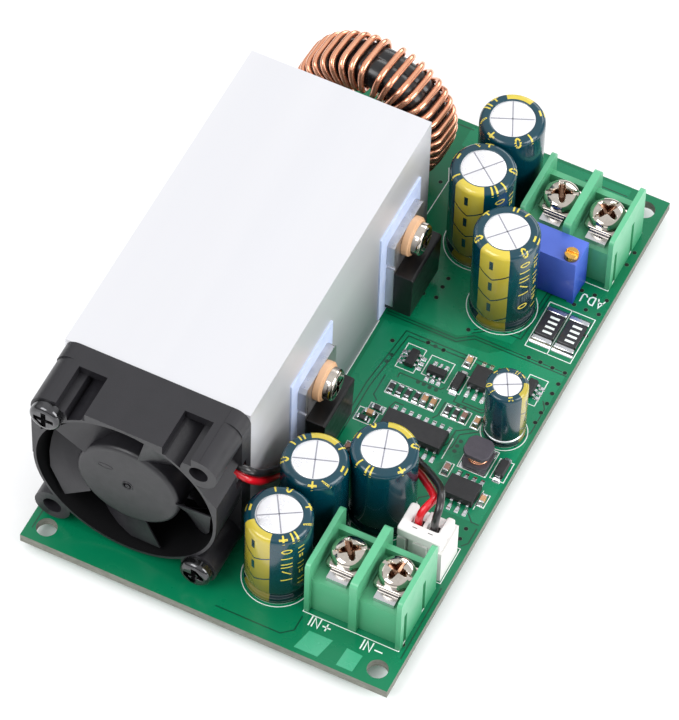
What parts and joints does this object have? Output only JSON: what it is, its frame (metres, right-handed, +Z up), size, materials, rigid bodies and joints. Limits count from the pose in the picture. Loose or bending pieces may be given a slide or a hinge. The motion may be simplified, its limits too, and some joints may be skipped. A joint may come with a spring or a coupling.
{
  "type": "buck converter module",
  "caption": "Fan-cooled step-down converter board with a tunnel heatsink, small axial fan, upright ring inductor, can capacitors and screw terminal blocks.",
  "frame": {"origin": "centre of the whole module's outline, at the level its lowest screw heads and pin ends rest on", "axes": "+Y along the board's long side, from the fan to the ring inductor; +X across to the terminal blocks; +Z up from the board"},
  "size_m": [0.0598, 0.0988, 0.0342],
  "materials": {
    "circuit_board": "glossy green solder mask",
    "solder": "shiny solder",
    "heatsink_metal": "smooth drawn aluminium",
    "dark_screws": "black oxide",
    "fan_plastic": "satin black",
    "steel_pins": "tin plated",
    "sleeve_bearing": "sintered bronze",
    "magnet": "bonded ferrite",
    "stator_steel": "laminated steel",
    "coil_wire": "enamelled copper",
    "fan_board": "solder mask",
    "red_insulation": "satin",
    "black_insulation": "satin",
    "connector_plastic": "satin",
    "ring_core": "black coating",
    "can_metal": "bright can end",
    "can_sleeves": "dark shrunk sleeve with printed stripe",
    "terminal_plastic": "light green, satin",
    "terminal_plating": "nickel plated",
    "moulded_black": "satin moulded epoxy",
    "device_tabs": "tin plated",
    "insulating_sheet": "pale blue-white sheet",
    "bush_plastic": "tan nylon",
    "trimmer_plastic": "blue, satin",
    "trimmer_brass": "turned brass",
    "shunt_coating": "black coating, bright ends",
    "resistor_coating": "black coating, bright ends",
    "ceramic": "tan ceramic, bright ends",
    "ferrite": "dark ferrite"
  },
  "bodies": {
    "module": {"pcb": "circuit_board", "solder_joints": "solder", "heatsink": "heatsink_metal", "heatsink_screws": "dark_screws", "fan_frame": "fan_plastic", "fan_bearing": "sleeve_bearing", "fan_stator_core": "stator_steel", "fan_stator_coils": "coil_wire", "fan_circuit_board": "fan_board", "fan_screws": "dark_screws", "fan_red_wire": "red_insulation", "fan_black_wire": "black_insulation", "fan_plug": "connector_plastic", "fan_header": "connector_plastic", "fan_header_pins": "steel_pins", "toroid_core": "ring_core", "toroid_winding": "coil_wire", "capacitor_1": "can_metal", "capacitor_2": "can_metal", "capacitor_3": "can_metal", "capacitor_4": "can_metal", "capacitor_5": "can_metal", "capacitor_6": "can_metal", "capacitor_7": "can_metal", "capacitor_sleeves": "can_sleeves", "input_terminal_housing": "terminal_plastic", "output_terminal_housing": "terminal_plastic", "input_terminal_contacts": "terminal_plating", "output_terminal_contacts": "terminal_plating", "transistor_body": "moulded_black", "transistor_tab": "device_tabs", "rectifier_body": "moulded_black", "rectifier_tab": "device_tabs", "insulating_pads": "insulating_sheet", "insulating_bushes": "bush_plastic", "device_screws": "device_tabs", "trimmer_body": "trimmer_plastic", "trimmer_pins": "steel_pins", "controller_chip": "moulded_black", "driver_chips": "moulded_black", "small_semiconductors": "moulded_black", "chip_leads": "steel_pins", "shunt_resistors": "shunt_coating", "chip_resistors": "resistor_coating", "chip_capacitors": "ceramic", "choke_core": "ferrite", "choke_winding": "coil_wire"},
    "fan_rotor": {"fan_impeller": "fan_plastic", "fan_shaft": "steel_pins", "fan_magnet_ring": "magnet"},
    "trimmer_adjuster": {"trimmer_screw": "trimmer_brass"},
    "washer_1": {"terminal_washer_1": "terminal_plating"},
    "screw_1": {"terminal_screw_1": "terminal_plating"},
    "washer_2": {"terminal_washer_2": "terminal_plating"},
    "screw_2": {"terminal_screw_2": "terminal_plating"},
    "washer_3": {"terminal_washer_3": "terminal_plating"},
    "screw_3": {"terminal_screw_3": "terminal_plating"},
    "washer_4": {"terminal_washer_4": "terminal_plating"},
    "screw_4": {"terminal_screw_4": "terminal_plating"}
  },
  "joints": [
    {"name": "fan_spin", "type": "hinge", "parent": "module", "child": "fan_rotor", "pos_m": [-0.0149, -0.0404, 0.0192], "axis": [0, 1, 0], "continuous": true},
    {"name": "trimmer_turn", "type": "hinge", "parent": "module", "child": "trimmer_adjuster", "pos_m": [0.02333, 0.0265, 0.0124], "axis": [0, 0, 1], "continuous": true},
    {"name": "washer_1_lift", "type": "slide", "parent": "module", "child": "washer_1", "axis": [0, 0, 1], "range_m": [0, 0.002]},
    {"name": "screw_1_turn", "type": "hinge", "parent": "washer_1", "child": "screw_1", "pos_m": [0.01723, -0.0362, 0.0128], "axis": [0, 0, 1], "range_deg": [0, 1440]},
    {"name": "washer_2_lift", "type": "slide", "parent": "module", "child": "washer_2", "axis": [0, 0, 1], "range_m": [0, 0.002]},
    {"name": "screw_2_turn", "type": "hinge", "parent": "washer_2", "child": "screw_2", "pos_m": [0.02482, -0.0362, 0.0128], "axis": [0, 0, 1], "range_deg": [0, 1440]},
    {"name": "washer_3_lift", "type": "slide", "parent": "module", "child": "washer_3", "axis": [0, 0, 1], "range_m": [0, 0.002]},
    {"name": "screw_3_turn", "type": "hinge", "parent": "washer_3", "child": "screw_3", "pos_m": [0.01723, 0.0362, 0.0128], "axis": [0, 0, 1], "range_deg": [0, 1440]},
    {"name": "washer_4_lift", "type": "slide", "parent": "module", "child": "washer_4", "axis": [0, 0, 1], "range_m": [0, 0.002]},
    {"name": "screw_4_turn", "type": "hinge", "parent": "washer_4", "child": "screw_4", "pos_m": [0.02482, 0.0362, 0.0128], "axis": [0, 0, 1], "range_deg": [0, 1440]}
  ],
  "couplings": [
    {"joint": "screw_1_turn", "follows": "washer_1_lift", "rad_per_m": 12566},
    {"joint": "screw_2_turn", "follows": "washer_2_lift", "rad_per_m": 12566},
    {"joint": "screw_3_turn", "follows": "washer_3_lift", "rad_per_m": 12566},
    {"joint": "screw_4_turn", "follows": "washer_4_lift", "rad_per_m": 12566}
  ]
}
